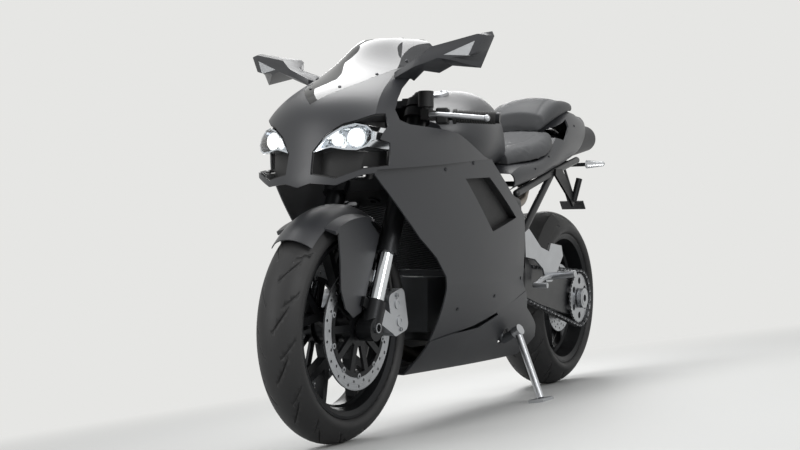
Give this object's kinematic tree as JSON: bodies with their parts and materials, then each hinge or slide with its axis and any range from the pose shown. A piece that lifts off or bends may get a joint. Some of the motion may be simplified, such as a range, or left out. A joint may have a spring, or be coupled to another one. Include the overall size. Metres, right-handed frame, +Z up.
{
  "type": "sport motorcycle",
  "caption": "Fully faired sport motorcycle with paired lamps, underseat silencers and a single-sided rear arm, standing on its side stand; it steers and its wheels turn.",
  "frame": {"origin": "on the floor, under the middle of the bounding box", "axes": "+X forward along the wheels, +Y to the rider's left, +Z up; the machine leans to its left on the side stand"},
  "size_m": [2.0449, 0.7348, 1.1023],
  "materials": {
    "matte_black": "satin moulded body panels",
    "satin_paint": "satin dark grey paint",
    "frame_paint": "black paint",
    "engine_alloy": "dark cast alloy",
    "radiator_alloy": "black core",
    "screen": "smoked acrylic",
    "lens": "clear lens",
    "reflector": "bright reflector",
    "black_trim": "black moulding",
    "dash_plastic": "black instrument case",
    "glass_mirror": "mirror glass",
    "seat_cover": "smooth grey seat cover",
    "red_lens": "red lens",
    "clear_lens": "clear indicator lens",
    "steel": "brushed steel",
    "silencer_steel": "black coated steel",
    "bare_alloy": "bare alloy",
    "black_alloy": "black anodised alloy",
    "chrome": "hard chrome",
    "grip_rubber": "moulded rubber",
    "tyre_rubber": "road tyre rubber"
  },
  "bodies": {
    "chassis": {"trellis_frame": "frame_paint", "rear_subframe": "frame_paint", "engine": "engine_alloy", "radiator": "radiator_alloy", "nose_cowl": "matte_black", "windscreen": "screen", "headlamp_lenses": "lens", "headlamp_trays": "reflector", "nose_liners": "black_trim", "dash": "dash_plastic", "mirrors": "matte_black", "mirror_lenses": "clear_lens", "mirror_glasses": "glass_mirror", "side_fairing_left": "matte_black", "side_fairing_right": "matte_black", "vent_liners": "black_trim", "belly_pan": "matte_black", "fuel_tank": "satin_paint", "rider_seat": "seat_cover", "passenger_seat": "seat_cover", "tail_cowl": "matte_black", "tail_lamp": "red_lens", "silencers": "silencer_steel", "exhaust_pipes": "steel", "plate_bracket": "frame_paint", "rear_indicators": "clear_lens", "footrests": "bare_alloy", "foot_levers": "bare_alloy", "passenger_rests": "black_alloy", "swingarm": "frame_paint", "rear_shock": "steel", "rear_caliper": "black_alloy", "chain": "steel", "sprocket_cover": "black_alloy", "rear_hugger": "black_trim"},
    "steering": {"yokes": "black_alloy", "fork_tubes": "black_alloy", "fork_stanchions": "chrome", "fork_feet": "black_alloy", "front_axle": "steel", "clip_ons": "black_alloy", "grips": "grip_rubber", "levers": "bare_alloy", "bar_controls": "black_trim", "front_fender": "matte_black", "front_calipers": "bare_alloy", "brake_hoses": "grip_rubber"},
    "front_wheel": {"front_tyre": "tyre_rubber", "front_rim": "black_alloy", "front_rotors": "steel", "rotor_carriers": "black_alloy"},
    "rear_wheel": {"rear_tyre": "tyre_rubber", "rear_rim": "black_alloy", "rear_rotor": "steel", "rear_sprocket": "steel", "rear_axle": "steel"},
    "side_stand": {"side_stand": "bare_alloy"}
  },
  "joints": [
    {"name": "steer", "type": "hinge", "parent": "chassis", "child": "steering", "pos_m": [0.48227, -0.04756, 0.73208], "axis": [-0.4147, 0.1423, 0.8988], "range_deg": [-27, 27]},
    {"name": "front_spin", "type": "hinge", "parent": "steering", "child": "front_wheel", "pos_m": [0.7225, -0.11639, 0.2975], "axis": [0, 0.9877, -0.1564], "continuous": true},
    {"name": "rear_spin", "type": "hinge", "parent": "chassis", "child": "rear_wheel", "pos_m": [-0.7075, -0.11404, 0.31232], "axis": [0, 0.9877, -0.1564], "continuous": true},
    {"name": "stand_fold", "type": "hinge", "parent": "chassis", "child": "side_stand", "pos_m": [-0.0125, 0.06069, 0.21377], "axis": [0.1567, 0.9237, 0.3497], "range_deg": [0, 108.9]}
  ]
}
